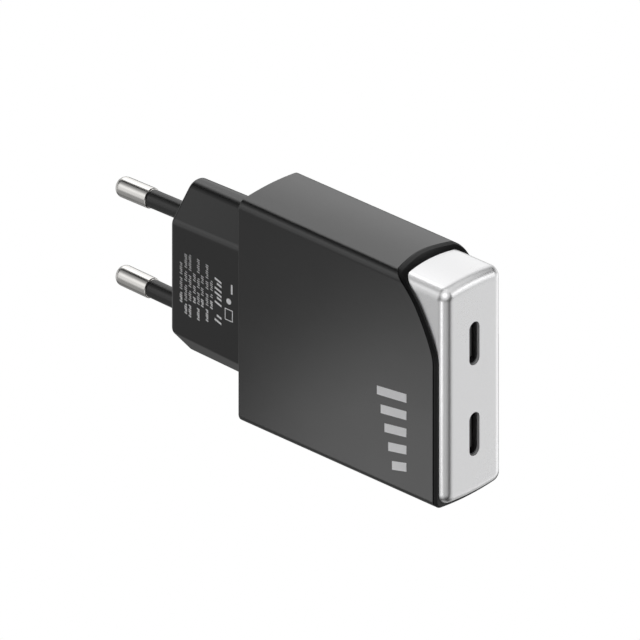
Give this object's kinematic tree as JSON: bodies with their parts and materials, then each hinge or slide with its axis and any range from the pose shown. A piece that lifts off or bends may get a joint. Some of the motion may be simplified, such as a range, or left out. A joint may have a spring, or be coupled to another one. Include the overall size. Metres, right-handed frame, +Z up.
{
  "type": "usb wall charger",
  "caption": "Slim upright wall charger: a dark housing with a flat round-pin mains plug, and a silver front cap with USB-C ports.",
  "frame": {"origin": "centre of the plug nose's flat face, which meets the wall socket", "axes": "+Y points out of the nose's face along the pins into the socket, +Z is up along the line of the pins, +X is across the thin way; the USB-C ports face -Y"},
  "size_m": [0.0172, 0.0883, 0.0464],
  "materials": {
    "housing_plastic": "fine matt, dark grey",
    "bezel_plastic": "satin, near black",
    "cap_silver": "satin silver paint",
    "pin_metal": "bright nickel plate",
    "sleeve_plastic": "satin black",
    "spring_metal": "plain rolled strip",
    "port_steel": "nickel plate",
    "port_plastic": "matt black",
    "contact_metal": "gold plate",
    "board": "green solder mask",
    "link_plastic": "matt black",
    "chip_plastic": "matt black",
    "fuse_body": "brown glaze",
    "disc_coating": "blue coating",
    "film_capacitor_case": "yellow moulding",
    "ferrite": "ground ferrite",
    "copper": "enamelled copper",
    "winding_tape": "yellow tape",
    "bobbin_plastic": "matt black",
    "can_sleeve": "dark sleeve over the can",
    "can_metal": "bright can",
    "spreader_metal": "rolled sheet",
    "pad_rubber": "soft grey pad",
    "film": "thin film"
  },
  "bodies": {
    "root": {"main_housing": "housing_plastic", "plug_nose": "housing_plastic", "front_bezel": "bezel_plastic", "front_cap": "cap_silver", "pin_upper": "pin_metal", "pin_lower": "pin_metal", "pin_sleeve_upper": "sleeve_plastic", "pin_sleeve_lower": "sleeve_plastic", "contact_spring_upper": "spring_metal", "contact_spring_lower": "spring_metal", "usb_shell_upper": "port_steel", "usb_shell_lower": "port_steel", "usb_tongue_upper": "port_plastic", "usb_tongue_lower": "port_plastic", "usb_contacts_upper": "contact_metal", "usb_contacts_lower": "contact_metal", "main_board": "board", "port_board": "board", "board_link": "link_plastic", "bridge_rectifier": "chip_plastic", "optocoupler": "chip_plastic", "power_switch": "chip_plastic", "output_rectifier": "chip_plastic", "port_controller": "chip_plastic", "fuse": "fuse_body", "varistor": "disc_coating", "y_capacitor": "disc_coating", "x_capacitor": "film_capacitor_case", "choke_core": "ferrite", "transformer_core_upper": "ferrite", "transformer_core_lower": "ferrite", "choke_winding_left": "copper", "choke_winding_right": "copper", "transformer_winding": "winding_tape", "transformer_bobbin": "bobbin_plastic", "bulk_capacitor_upper": "can_sleeve", "bulk_capacitor_lower": "can_sleeve", "output_capacitor_upper": "can_metal", "output_capacitor_lower": "can_metal", "heat_spreader": "spreader_metal", "thermal_pad": "pad_rubber", "insulation_film": "film"}
  },
  "joints": []
}
